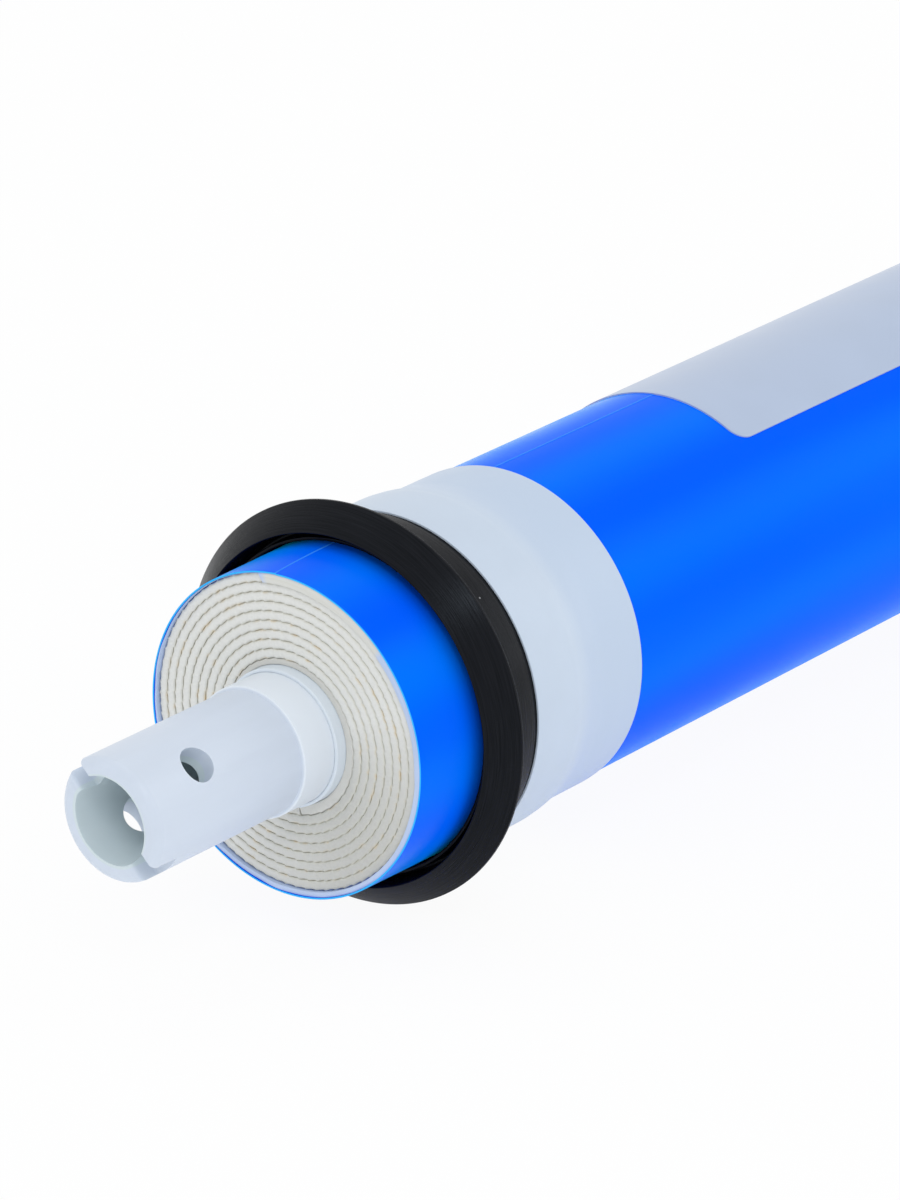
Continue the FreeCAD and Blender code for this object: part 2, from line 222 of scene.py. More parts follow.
class StudioSettings(bpy.types.PropertyGroup):
    camera_place: FloatVectorProperty(
        name="Camera place",
        description="Where the camera stands",
        default=(0.50501, -0.73303, 0.33523),
        size=3,
        subtype="XYZ",
        unit="LENGTH",
        precision=5,
    )
    camera_azimuth: turn_angle("Camera azimuth", 37.653, "Turn of the view from +Y towards -X")
    camera_elevation: turn_angle("Camera elevation", 21.597, "How far the view looks down")
    camera_lens: FloatProperty(name="Lens", description="Focal length in millimetres", default=201.6, min=1.0)
    floor_size: FloatProperty(name="Floor size", description="Width of the floor", default=6.0, unit="LENGTH")
    sky_level: portion("Sky level", 0.85, "Strength of the soft light all round")
    floor_white: portion("Floor white", 0.94, "Share of the floor that the camera sees as plain white")
    floor_glow: portion("Floor glow", 0.25, "Share of the floor that glows, as the element sees it")
    floor_strength: FloatProperty(name="Floor strength", description="How strongly it glows", default=1.6)


SETTINGS = {
    "element_tube": TubeSettings,
    "element_winding": WindingSettings,
    "element_film": FilmSettings,
    "element_seal": SealSettings,
    "element_tape": TapeSettings,
    "element_label": LabelSettings,
    "element_rings": RingSettings,
    "element_studio": StudioSettings,
}


# Surfaces

def anticlockwise(outline):
    """The outline of (radius, y) points, reversed if its signed area is negative."""
    x, y = np.asarray(outline, float).T
    area = np.sum(x * np.roll(y, -1) - np.roll(x, -1) * y)
    return np.stack([x, y], 1) if area > 0 else np.stack([x, y], 1)[::-1]


def rounded(corners, radii, steps):
    """A closed outline whose corners give way to arcs.

    An arc is tangent to both sides of its corner. Its centre lies on the bisector, at the radius divided by
    the sine of half the corner's angle, and its points turn evenly from one tangent point to the other.
    """
    corners = np.asarray(corners, float)
    radii = np.broadcast_to(np.asarray(radii, float), len(corners))
    to_last = np.roll(corners, 1, 0) - corners
    to_next = np.roll(corners, -1, 0) - corners
    last_length = np.linalg.norm(to_last, axis=1)
    next_length = np.linalg.norm(to_next, axis=1)
    to_last /= last_length[:, None]
    to_next /= next_length[:, None]
    half = np.arccos(np.clip(np.sum(to_last * to_next, 1), -1, 1)) / 2
    longest = 0.45 * np.minimum(last_length, next_length)
    reach = np.minimum(radii / np.tan(half), longest)
    radius = reach * np.tan(half)
    share = np.linspace(0, 1, steps)
    outline = []
    for k, corner in enumerate(corners):
        straight = half[k] > 0.499 * math.pi
        if radius[k] < 1e-7 or straight:
            outline.append(corner[None])
            continue
        bisector = to_last[k] + to_next[k]
        centre = corner + bisector / np.linalg.norm(bisector) * radius[k] / math.sin(half[k])
        first = corner + to_last[k] * reach[k] - centre
        second = corner + to_next[k] * reach[k] - centre
        swing = math.pi - 2 * half[k]
        weights = np.sin([(1 - share) * swing, share * swing]) / math.sin(swing)
        outline.append(centre + weights[0][:, None] * first + weights[1][:, None] * second)
    return np.concatenate(outline)


def revolved(outline, angles, growth=0.0):
    """A grid of points: x = (r + growth) cos angle, y as in the outline, z = (r + growth) sin angle."""
    radius = outline[None, :, 0] + growth + np.zeros((len(angles), 1))
    x = radius * np.cos(angles)[:, None]
    z = radius * np.sin(angles)[:, None]
    return np.stack([x, np.broadcast_to(outline[:, 1], radius.shape), z], -1)


def skin(points, closed_sweep=True):
    """Vertices and faces between neighbouring sections of a grid.

    Every section is a closed outline. The last section meets the first, or else each end gets a flat face.
    """
    sections, count = points.shape[:2]
    index = np.arange(sections * count).reshape(sections, count)
    first = index if closed_sweep else index[:-1]
    second = np.roll(index, -1, 0) if closed_sweep else index[1:]
    quads = np.stack([first, np.roll(first, -1, 1), np.roll(second, -1, 1), second], -1)
    faces = quads.reshape(-1, 4).tolist()
    if not closed_sweep:
        faces += [index[0, ::-1].tolist(), index[-1].tolist()]
    return points.reshape(-1, 3), faces


def around(count):
    """Evenly spaced angles of one full turn, the last short of the first."""
    return np.linspace(0, 2 * math.pi, count, endpoint=False)


def harmonics(angles, orders, seed):
    """A closed ripple between -1 and 1: sines of whole orders, each weighted by one over its order."""
    chance = np.random.default_rng(seed)
    phases = chance.uniform(0, 2 * math.pi, len(orders))
    weights = np.array([1 / order for order in orders])
    waves = np.sin(np.multiply.outer(angles, orders) + phases) * weights
    return waves.sum(-1) / weights.sum()


def wandering(place, spacing, seed):
    """Smooth chance values between -1 and 1 along a line: one per spacing, with a cosine ease between."""
    count = 4096
    knots = np.random.default_rng(seed).uniform(-1, 1, count)
    steps = place / spacing
    low = np.floor(steps).astype(int)
    ease = (1 - np.cos(math.pi * (steps - low))) / 2
    return knots[low % count] * (1 - ease) + knots[(low + 1) % count] * ease


def spiral_point(run, offset, winding):
    """A point of the winding after a run, the angle turned since its start.

    Every half turn is an arc. Its radius grows by half a pitch from the arc before it, and its centre lies a
    quarter pitch to the left and to the right in turn, so that the arcs meet tangent. The winding runs from
    +Z towards +X, and is turned as a whole to its start angle.
    """
    pitch = winding.leaf + winding.spacer
    half = np.minimum(np.floor(run / math.pi), winding.half_turns - 1)
    radius = winding.start_radius + pitch / 4 + half * pitch / 2 + offset
    centre = np.where(half % 2 > 0, pitch / 4, -pitch / 4)
    across, down = centre + radius * np.cos(run), radius * np.sin(run)
    cos, sin = math.cos(winding.start_angle), math.sin(winding.start_angle)
    return across * cos + down * sin, across * sin - down * cos


def spiral_runs(winding, step):
    """Runs along the winding at even steps: the distance is read backwards to find the run of each step."""
    samples = 200 * winding.half_turns
    fine = np.linspace(0, math.pi * winding.half_turns, samples)
    distance = slit_distance(winding, fine)
    count = int(distance[-1] / step) + 1
    return np.interp(np.linspace(0, distance[-1], count), distance, fine)


def slit_distance(winding, run):
    """Distance along the winding: the radius grows evenly with the run, so it is a sum of two powers."""
    growth = (winding.leaf + winding.spacer) / (2 * math.pi)
    return (winding.start_radius + winding.leaf) * run + growth * run ** 2 / 2


def slit_beat(winding, run):
    """The beat of the net's strands along a slit: a share from 0 to 1 from each strand to the next.

    The strands stand a pitch apart, and drift by up to a third of it as a smooth chance value.
    """
    distance = slit_distance(winding, run) / winding.strand_pitch
    drift = 0.3 * wandering(distance, 2.5, seed=3)
    return (distance + drift) % 1.0


def slit_open(winding, run):
    """How open a slit is: one, less the fade times the squared cosine of the angle from the pressed side."""
    angle = winding.start_angle - run - winding.fade_angle
    return 1 - winding.fade * np.clip(np.cos(angle), 0, 1) ** 2


def slit_shape(winding, run):
    """How far a slit lies off the spacer's middle, and half its width.

    It slants outwards as a straight ramp of the beat, and is narrow at each strand: the root of the sine.
    """
    beat = slit_beat(winding, run)
    narrow = slit_open(winding, run) * (0.25 + 0.75 * np.sin(math.pi * beat) ** 0.5)
    return winding.slit_sway * (2 * beat - 1), winding.slit / 2 * narrow


def marked(thing, name, values):
    """Keep a number for each point of a piece, for its material."""
    mark = thing.data.attributes.new(name, "FLOAT", "POINT")
    mark.data.foreach_set("value", np.asarray(values, np.float32).ravel())


def piece(name, surface, material, slot, *nodes, crease=math.radians(32)):
    """A new object, smooth but for its creases, in its material and standing for the named nodes."""
    vertices, faces = surface
    mesh = bpy.data.meshes.new(name)
    mesh.from_pydata(vertices.tolist(), [], faces)
    smoothed(mesh, crease)
    mesh.materials.append(material)
    return placed(name, mesh, slot, *nodes)


def smoothed(mesh, crease):
    """Shade a mesh smooth, but for the edges that turn more than the crease."""
    mesh.polygons.foreach_set("use_smooth", np.ones(len(mesh.polygons), bool))
    mesh.set_sharp_from_angle(angle=crease)


def placed(name, mesh, slot, *nodes):
    """Link a finished mesh, hang it under its body's empty, and hide the nodes that it stands for."""
    thing = bpy.data.objects.new(name, mesh)
    bpy.context.scene.collection.objects.link(thing)
    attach(thing, BODY)
    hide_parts(*nodes)
    return thing


# Finishes

class Finish:
    """A material in the making: its nodes and the surface shader at their end."""

    def __init__(self, name, **sockets):
        """A new material, with constants for the shader's sockets, named with _ for a space."""
        self.material = bpy.data.materials.new(name)
        self.material.use_nodes = True
        self.tree = self.material.node_tree
        self.shader = self.tree.nodes["Principled BSDF"]
        self.feed(self.shader, {key.replace("_", " "): value for key, value in sockets.items()})

    def feed(self, node, inputs):
        """Set a node's inputs: a socket is joined, anything else is its value."""
        for key, value in inputs.items():
            if isinstance(value, bpy.types.NodeSocket):
                self.tree.links.new(value, node.inputs[key])
            else:
                node.inputs[key].default_value = value

    def add(self, kind, output, inputs=None, **settings):
        """Add a node and give one of its outputs."""
        node = self.tree.nodes.new("ShaderNode" + kind)
        for key, value in settings.items():
            setattr(node, key, value)
        self.feed(node, inputs or {})
        return node.outputs[output]

    def place(self):
        """Where a point of the element is, in metres."""
        return self.add("TexCoord", "Object")

    def noise(self, vector, scale, detail=3.0, roughness=0.5):
        """Cloudy noise with so many features to a metre."""
        inputs = {"Vector": vector, "Scale": scale, "Detail": detail, "Roughness": roughness}
        return self.add("TexNoise", "Fac", inputs)

    def part(self, axis):
        """The place along one axis."""
        return self.add("SeparateXYZ", axis, {"Vector": self.place()})

    def stretched(self, factors):
        """The place, scaled by one factor for each direction."""
        return self.add("VectorMath", "Vector", {0: self.place(), 1: factors}, operation="MULTIPLY")

    def outwards(self):
        """The way from the axis to the place."""
        return self.stretched((1.0, 0.0, 1.0))

    def radius(self):
        """Distance from the axis."""
        return self.add("VectorMath", "Value", {0: self.outwards()}, operation="LENGTH")

    def hooped(self, across, along):
        """A place for patterns drawn out round the axis.

        The radius and y are scaled by the fine factor, and x and z are added with the coarse one, so that
        nothing jumps.
        """
        fine = self.add("CombineXYZ", "Vector", {"X": self.radius(), "Y": self.part("Y")})
        fine = self.add("VectorMath", "Vector", {0: fine, 1: (across, across, 0.0)}, operation="MULTIPLY")
        coarse = self.stretched((along, 0.0, along))
        return self.add("VectorMath", "Vector", {0: fine, 1: coarse}, operation="ADD")

    def spread(self, value, low=0.0, high=1.0, start=0.3, end=0.7):
        """Stretch a value's middle range to a new range, and hold it at the new range's ends."""
        inputs = {"Value": value, "From Min": start, "From Max": end, "To Min": low, "To Max": high}
        return self.add("MapRange", "Result", inputs)

    def past(self, value, start, width):
        """A share that grows from nought at the start to one at a width past it."""
        return self.spread(value, start=start, end=start + width)

    def compute(self, operation, *values):
        """A sum on one to three values."""
        return self.add("Math", "Value", dict(enumerate(values)), operation=operation)

    def turn(self):
        """Angle about the axis, from +X towards +Z."""
        return self.compute("ARCTAN2", self.part("Z"), self.part("X"))

    def facing(self, angle):
        """Cosine of the turn about the axis between a point and an angle."""
        outwards = self.add("VectorMath", "Vector", {0: self.outwards()}, operation="NORMALIZE")
        middle = (math.cos(angle), 0.0, math.sin(angle))
        return self.add("VectorMath", "Value", {0: outwards, 1: middle}, operation="DOT_PRODUCT")

    def mark(self, name):
        """A number that the piece keeps for each of its points."""
        return self.add("Attribute", "Fac", attribute_name=name)

    def mix(self, share, first, second):
        """Blend two colours. The node has sockets for each kind of value: for colours 6, 7 and output 2."""
        return self.add("Mix", 2, {0: share, 6: first, 7: second}, data_type="RGBA")

    def shades(self, share, value, low, high):
        """Blend a colour from one gain to another."""
        return self.mix(share, opaque(value, low), opaque(value, high))

    def paint(self, socket):
        """Use a colour as the surface's own."""
        self.feed(self.shader, {"Base Color": socket})

    def roughen(self, socket):
        """Use a value as the surface's roughness."""
        self.feed(self.shader, {"Roughness": socket})

    def relief(self, height, depth, after=None):
        """Bump of a real depth in metres, on top of an earlier one."""
        inputs = {"Height": height, "Distance": depth, "Strength": 1.0}
        if after is not None:
            inputs["Normal"] = after
        normal = self.add("Bump", "Normal", inputs)
        self.feed(self.shader, {"Normal": normal})
        return normal


def opaque(value, gain=1.0):
    """A linear colour with full alpha, made a little lighter or darker."""
    return tuple(min(1.0, channel * gain) for channel in value) + (1.0,)


def tube_finish(settings):
    """Moulded plastic: satin, with faint flow marks along the tube and a fine grain."""
    finish = Finish(
        "moulded_white_plastic", Specular_IOR_Level=0.42,
        Subsurface_Weight=0.12, Subsurface_Radius=(1.0, 1.0, 1.0), Subsurface_Scale=0.6 * MM,
    )
    flow = finish.noise(finish.stretched((1.0, 0.12, 1.0)), scale=420.0, detail=3.0)
    tone = finish.shades(finish.spread(flow), settings.plastic, 0.985, 1.015)
    wall = finish.past(finish.radius(), settings.bore_radius, settings.blend)
    thick = finish.past(finish.radius(), settings.collar_radius, settings.blend)
    tone = finish.mix(wall, opaque(settings.bore_colour), tone)
    finish.paint(finish.mix(thick, tone, opaque(settings.collar)))
    grain = finish.noise(finish.place(), scale=5200.0, detail=2.0)
    finish.roughen(finish.spread(flow, 0.33, 0.42))
    finish.relief(flow, 0.02 * MM, finish.relief(grain, 0.003 * MM))
    return finish.material


def core_tape_finish(settings):
    """Smooth white tape with faint creases round the tube."""
    finish = Finish("core_tape", Specular_IOR_Level=0.4)
    crease = finish.noise(finish.hooped(1800.0, 60.0), scale=1.0, detail=3.0)
    finish.paint(finish.shades(crease, settings.wrap_colour, 0.94, 1.03))
    finish.roughen(finish.spread(crease, 0.32, 0.45))
    finish.relief(crease, 0.03 * MM)
    return finish.material


def leaf_finish(settings):
    """Chalky, layered cut edges of coated sheet: painted shade on one side and at the slits, a few stained
    spots.
    """
    finish = Finish("membrane_sheet", Specular_IOR_Level=0.25, Roughness=0.75)
    layers = finish.noise(finish.hooped(9000.0, 700.0), scale=1.0, detail=2.0)
    fibres = finish.noise(finish.place(), scale=2600.0, detail=4.0, roughness=0.65)
    base = finish.shades(finish.spread(fibres), settings.leaf_colour, 0.97, 1.03)
    # Painted shade: one side of the face is painted darker.
    dull = finish.spread(finish.facing(settings.shade_angle), high=0.8, start=0.35, end=1.0)
    base = finish.mix(dull, base, opaque(settings.shade_colour))
    # Painted shade towards the slits, where the cut edges fall away; the same mark places the stains.
    valley = finish.mark("valley")
    base = finish.mix(valley, base, opaque(settings.valley_colour))
    spots = finish.noise(finish.place(), scale=420.0, detail=3.0)
    spots = finish.spread(spots, high=0.8, start=0.55, end=0.70)
    stain = finish.compute("MULTIPLY", spots, valley)
    finish.paint(finish.mix(stain, base, opaque(settings.stain_colour, 1.4)))
    finish.relief(fibres, 0.05 * MM, finish.relief(layers, 0.04 * MM))
    return finish.material


def core_cloth_finish(settings):
    """Glue-soaked cloth: duller than the leaf, with soft patches."""
    finish = Finish("core_cloth", Specular_IOR_Level=0.3, Roughness=0.6)
    patches = finish.noise(finish.place(), scale=500.0, detail=3.0)
    finish.paint(finish.shades(patches, settings.core_colour, 0.95, 1.05))
    finish.relief(finish.noise(finish.place(), scale=2400.0), 0.05 * MM)
    return finish.material


def net_finish(settings):
    """Plastic net: painted shade between the strands, pale at their cut ends, painted blue light by the film.
    """
    finish = Finish("spacer_net", Specular_IOR_Level=0.35, Roughness=0.5)
    speck = finish.noise(finish.place(), scale=900.0, detail=2.0)
    tint = finish.past(finish.radius(), settings.outer_radius, settings.tint_width)
    plain = finish.shades(speck, settings.net_colour, 0.7, 1.3)
    rusty = finish.spread(finish.noise(finish.place(), scale=260.0), high=0.8, start=0.52, end=0.66)
    plain = finish.mix(rusty, plain, opaque(settings.stain_colour))
    # Painted light: next to the film the net is painted blue for the light that comes through the film.
    blue = finish.shades(speck, settings.outer_net_colour, 0.75, 1.2)
    dark = finish.mix(tint, plain, blue)
    pale = finish.mix(tint, opaque(settings.leaf_colour, 0.95), opaque(settings.wrap_colour, 0.9))
    # Painted shade: darker where the net lies deep between the strands, pale at their shallow cut ends.
    finish.paint(finish.mix(finish.mark("strand"), dark, pale))
    finish.relief(speck, 0.03 * MM)
    return finish.material


def jacket_finish(settings):
    """Thin white sheet in fine layers, painted a little blue for the light that comes through the film."""
    finish = Finish("white_jacket", Specular_IOR_Level=0.3, Roughness=0.5)
    layers = finish.noise(finish.hooped(5000.0, 120.0), scale=1.0, detail=2.0)
    # Painted light: blue for the light that comes through the film.
    blue = finish.shades(layers, settings.wrap_colour, 0.85, 1.07)
    cream = finish.mix(layers, opaque(settings.valley_colour), opaque(settings.leaf_colour))
    near_seam = finish.spread(finish.facing(settings.seam_angle), start=0.88, end=0.90)
    finish.paint(finish.mix(near_seam, blue, cream))
    finish.relief(layers, 0.03 * MM)
    return finish.material


def film_finish(settings):
    """Glossy film: long soft bands of painted reflection, with a paler free edge and cut rims with a painted
    highlight.

    The bands are a cosine of the angle about the axis, loosened by a long drift. The shine is blue, and turns
    white only where the film is seen at a low angle.
    """
    finish = Finish(
        "blue_film", Specular_IOR_Level=0.018, Specular_Tint=(0.0, 0.55, 1.0, 1.0),
        Sheen_Weight=0.3, Sheen_Tint=(0.0, 0.85, 1.0, 1.0), Sheen_Roughness=0.25,
    )
    drift = finish.noise(finish.stretched((1.0, 0.08, 1.0)), scale=90.0, detail=1.0)
    # Painted reflection: lighter blue bands round the roll stand in for the studio lights mirrored in the
    # film.
    bands = float(settings.bands)
    wave = finish.compute("MULTIPLY_ADD", finish.turn(), bands, -bands * settings.band_angle)
    wave = finish.compute("COSINE", wave)
    share = finish.compute("MULTIPLY_ADD", wave, settings.band_strength, finish.spread(drift, 0.20, 0.80))
    tone = finish.mix(share, opaque(settings.film), opaque(settings.reflected))
    tone = finish.mix(finish.mark("free_edge"), tone, opaque(settings.edge))
    # Painted highlight on the cut rims.
    finish.paint(finish.mix(finish.mark("cut_rim"), tone, opaque(settings.rim)))
    finish.roughen(finish.spread(finish.noise(finish.place(), scale=120.0, detail=1.0), 0.18, 0.26))
    finish.relief(drift, 0.15 * MM)
    return finish.material


def rubber_finish(settings):
    """Moulded rubber: a cool dull shine, fine marks round the ring and a few specks of pale dust."""
    finish = Finish("seal_rubber", Specular_IOR_Level=0.10, Specular_Tint=(0.72, 0.86, 1.0, 1.0))
    marks = finish.noise(finish.hooped(7000.0, 160.0), scale=1.0, detail=3.0, roughness=0.6)
    patches = finish.noise(finish.place(), scale=120.0, detail=2.0)
    tone = finish.shades(finish.spread(marks), settings.rubber, 0.4, 1.6)
    cells = finish.add("TexVoronoi", "Distance", {"Vector": finish.place(), "Scale": 170.0})
    specks = finish.spread(cells, 1.0, 0.0, start=0.022, end=0.030)
    sparse = finish.spread(finish.noise(finish.place(), scale=60.0), start=0.58, end=0.62)
    dust = finish.compute("MULTIPLY", specks, sparse)
    finish.paint(finish.mix(dust, tone, (0.45, 0.46, 0.48, 1.0)))
    finish.roughen(finish.spread(patches, 0.20, 0.29))
    finish.relief(marks, 0.035 * MM)
    return finish.material


def tape_finish(settings):
    """Vinyl tape: soft shine, stretched a little uneven round the roll."""
    finish = Finish("white_tape", Specular_IOR_Level=0.35)
    pull = finish.noise(finish.hooped(260.0, 30.0), scale=1.0, detail=2.0)
    cloud = finish.noise(finish.place(), scale=160.0, detail=3.0)
    tone = finish.shades(finish.spread(cloud), settings.tape, 0.985, 1.015)
    behind = finish.past(finish.part("Y"), face_y + settings.crease, settings.tint_length)
    finish.paint(finish.mix(behind, tone, opaque(settings.tape_on_film)))
    finish.roughen(finish.spread(cloud, 0.34, 0.42))
    grain = finish.noise(finish.place(), scale=1300.0, detail=1.0)
    finish.relief(pull, 0.05 * MM, finish.relief(grain, 0.002 * MM))
    return finish.material


def label_finish(settings):
    """Coated label stock: satin, with a faint paper cloud."""
    finish = Finish("label_stock", Specular_IOR_Level=0.4)
    cloud = finish.noise(finish.place(), scale=120.0, detail=1.0)
    fibres = finish.noise(finish.place(), scale=1100.0, detail=1.0)
    finish.paint(finish.shades(finish.spread(cloud), settings.stock, 0.985, 1.015))
    finish.roughen(finish.spread(cloud, 0.28, 0.34))
    finish.relief(fibres, 0.0015 * MM)
    return finish.material


def ring_finish(settings):
    """O-ring rubber: matt, with a faint moulding grain."""
    finish = Finish("o_ring_rubber", Specular_IOR_Level=0.5)
    grain = finish.noise(finish.hooped(3000.0, 300.0), scale=1.0, detail=3.0)
    finish.paint(finish.shades(grain, settings.rubber, 0.8, 1.3))
    finish.roughen(finish.spread(grain, 0.38, 0.5))
    finish.relief(grain, 0.01 * MM)
    return finish.material


# Pieces

class ElementOperator(bpy.types.Operator):
    """Adds one piece of the element"""

    bl_options = {"REGISTER", "UNDO"}

    def execute(self, context):
        """Build the piece. What can't be built raises an error."""
        self.build(context.scene)
        return {"FINISHED"}


class ELEMENT_OT_tube(ElementOperator):
    """Adds the moulded product water tube with its lugs, holes and grooves"""

    bl_idname = "element.add_tube"
    bl_label = "Product tube"

    def build(self, scene):
        """The tube's own triangles, merged at their corners, with normals weighted by the faces' sizes."""
        settings = scene.element_tube
        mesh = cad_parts["product_tube"].data.copy()
        shape = bmesh.new()
        shape.from_mesh(mesh)
        tiny = 0.001 * MM
        bmesh.ops.remove_doubles(shape, verts=shape.verts, dist=tiny)
        bmesh.ops.dissolve_degenerate(shape, edges=shape.edges, dist=tiny)
        shape.to_mesh(mesh)
        shape.free()
        if "custom_normal" in mesh.attributes:
            mesh.attributes.remove(mesh.attributes["custom_normal"])
        smoothed(mesh, settings.crease_angle)
        mesh.materials.clear()
        mesh.materials.append(tube_finish(settings))
        tube = placed("moulded_tube", mesh, "tube_plastic", "product_tube")
        weighted = tube.modifiers.new("weighted_normals", "WEIGHTED_NORMAL")
        weighted.keep_sharp = True


class ELEMENT_OT_core_tape(ElementOperator):
    """Adds the first wrap of tape round the tube, a ring proud of both faces"""

    bl_idname = "element.add_core_tape"
    bl_label = "Core tape"

    def build(self, scene):
        """A long ring with softly rounded rims, whose outer radius swells a little as a closed ripple."""
        settings = scene.element_tube
        start = face_y - settings.wrap_overhang
        end = product_face_y + settings.wrap_overhang
        corners = [
            (settings.wrap_inner, start), (settings.wrap_radius, start),
            (settings.wrap_radius, end), (settings.wrap_inner, end),
        ]
        radii = np.array([0.05, 0.28, 0.28, 0.05]) * MM
        outline = anticlockwise(rounded(corners, radii, steps=7))
        angles = around(160)
        sag = harmonics(angles, (2, 3, 5, 9), seed=11)[:, None] * settings.wrap_sag
        outer = (outline[:, 0] > (settings.wrap_inner + settings.wrap_radius) / 2)[None]
        surface = skin(revolved(outline, angles, sag * outer))
        piece("core_tape_ring", surface, core_tape_finish(settings), "core_tape", "core_wrap")


class ELEMENT_OT_leaf(ElementOperator):
    """Adds the membrane leaf, wound as one long ribbon"""

    bl_idname = "element.add_leaf"
    bl_label = "Membrane leaf"

    def build(self, scene):
        """A section with domed ends is carried along the winding.

        Its sides follow the slits between the turns: the spacer's middle plus the slit's sway and half width.
        The cut edges are flat in the middle and fall away to the slits as squares of the distance, deeper
        between two strands than at them. A sine of the distance along and across adds slanting ridges, and
        the edges stand a little higher or lower as a smooth chance value of the distance run.
        """
        settings = scene.element_winding
        run = spiral_runs(settings, settings.step)
        distance = slit_distance(settings, run)
        outer_sway, outer_half = slit_shape(settings, run)
        inner_sway, inner_half = slit_shape(settings, run - 2 * math.pi)
        low = inner_sway + inner_half - settings.spacer / 2
        high = outer_sway - outer_half + settings.leaf + settings.spacer / 2
        share = (1 + np.cos(np.linspace(math.pi, 0, 11))) / 2
        inner_fall, outer_fall = (
            np.maximum(1 - side / settings.dome_share, 0) ** 2 for side in (share, 1 - share)
        )
        inner_rope, outer_rope = (
            0.55 + 0.45 * np.sin(math.pi * slit_beat(settings, turned))[:, None]
            for turned in (run - 2 * math.pi, run)
        )
        rise = settings.dome * (inner_fall * inner_rope + outer_fall * outer_rope)
        ridge = distance[:, None] / settings.twill_pitch + 0.7 * share
        rise = rise + settings.twill_height * np.sin(2 * math.pi * ridge)
        offsets = low[:, None] + (high - low)[:, None] * np.concatenate([share, share[::-1]])
        long_wave, short_wave = 14 * MM, 1.6 * MM
        front, back = (
            wandering(distance, long_wave, seed) * 0.25
            + wandering(distance, short_wave, seed + 1) * 0.15 + 0.4
            for seed in (5, 7)
        )
        near = face_y + leaf_recess + rise + settings.leaf_relief * front[:, None]
        far = product_face_y - leaf_recess - rise[:, ::-1] - settings.leaf_relief * back[:, None]
        x, z = spiral_point(run[:, None], offsets, settings)
        points = np.stack([x, np.concatenate([near, far], 1), z], -1)
        surface = skin(points[::-1], closed_sweep=False)
        ribbon = piece("membrane_ribbon", surface, leaf_finish(settings), "membrane", "membrane_leaf")
        marked(ribbon, "valley", np.tile(inner_fall + outer_fall, (len(run), 2)))


class ELEMENT_OT_core_cloth(ElementOperator):
    """Adds the glued cloth between the core tape and the first turn of the leaf"""

    bl_idname = "element.add_core_cloth"
    bl_label = "Core cloth"

    def build(self, scene):
        """A section turned once about the axis: flat at the core, and bounded outside by the first slit.

        The outer radius is the winding's less the slit, so it grows by a pitch in one turn and steps back at
        its end. A ledge as deep as the net runs on to the leaf.
        """
        settings = scene.element_winding
        run = np.linspace(0, 2 * math.pi, 240, endpoint=False)[::-1]
        sway, half = slit_shape(settings, run - 2 * math.pi)
        x, z = spiral_point(run, sway - half - settings.spacer / 2, settings)
        outer = np.hypot(x, z)
        inner = np.full(len(run), scene.element_tube.wrap_radius + ROOM)
        ledge = outer + 2 * half
        soft = 0.12 * MM
        radii = [inner, inner + soft, outer - soft, outer, outer, ledge]
        low = leaf_recess + settings.leaf_relief
        deep = low + settings.net_depth
        depths = np.array([low + soft, low, low, low + soft, deep, deep])
        radius = np.stack(radii + radii[::-1], 1)
        y = np.concatenate([face_y + depths, product_face_y - depths[::-1]])
        across, up = (x / outer)[:, None], (z / outer)[:, None]
        points = np.stack([radius * across, np.broadcast_to(y, radius.shape), radius * up], -1)
        piece("core_cloth_ring", skin(points), core_cloth_finish(settings), "membrane", "membrane_leaf")


class ELEMENT_OT_net(ElementOperator):
    """Adds the feed spacer, the net in the slits between the turns"""

    bl_idname = "element.add_net"
    bl_label = "Feed spacer"

    def build(self, scene):
        """A thin section carried along the winding, between the sides of the slit.

        Its ends lie deep between two strands and shallow at each one: the depth is half a sine of the beat.
        """
        settings = scene.element_winding
        run = spiral_runs(settings, settings.step)
        sway, half = slit_shape(settings, run)
        middle = settings.leaf + settings.spacer / 2 + sway
        offsets = middle[:, None] + half[:, None] * np.array([-1, 1, 1, -1])
        between = slit_open(settings, run) * np.sin(math.pi * slit_beat(settings, run)) ** 0.7
        depth = leaf_recess + settings.strand_depth + (settings.net_depth - settings.strand_depth) * between
        near, far = face_y + depth, product_face_y - depth
        y = np.stack([near, near, far, far], 1)
        x, z = spiral_point(run[:, None], offsets, settings)
        surface = skin(np.stack([x, y, z], -1)[::-1], closed_sweep=False)
        net = piece("spacer_net", surface, net_finish(settings), "spacer_net", "feed_spacer")
        marked(net, "strand", np.repeat((1 - between)[::-1], 4))


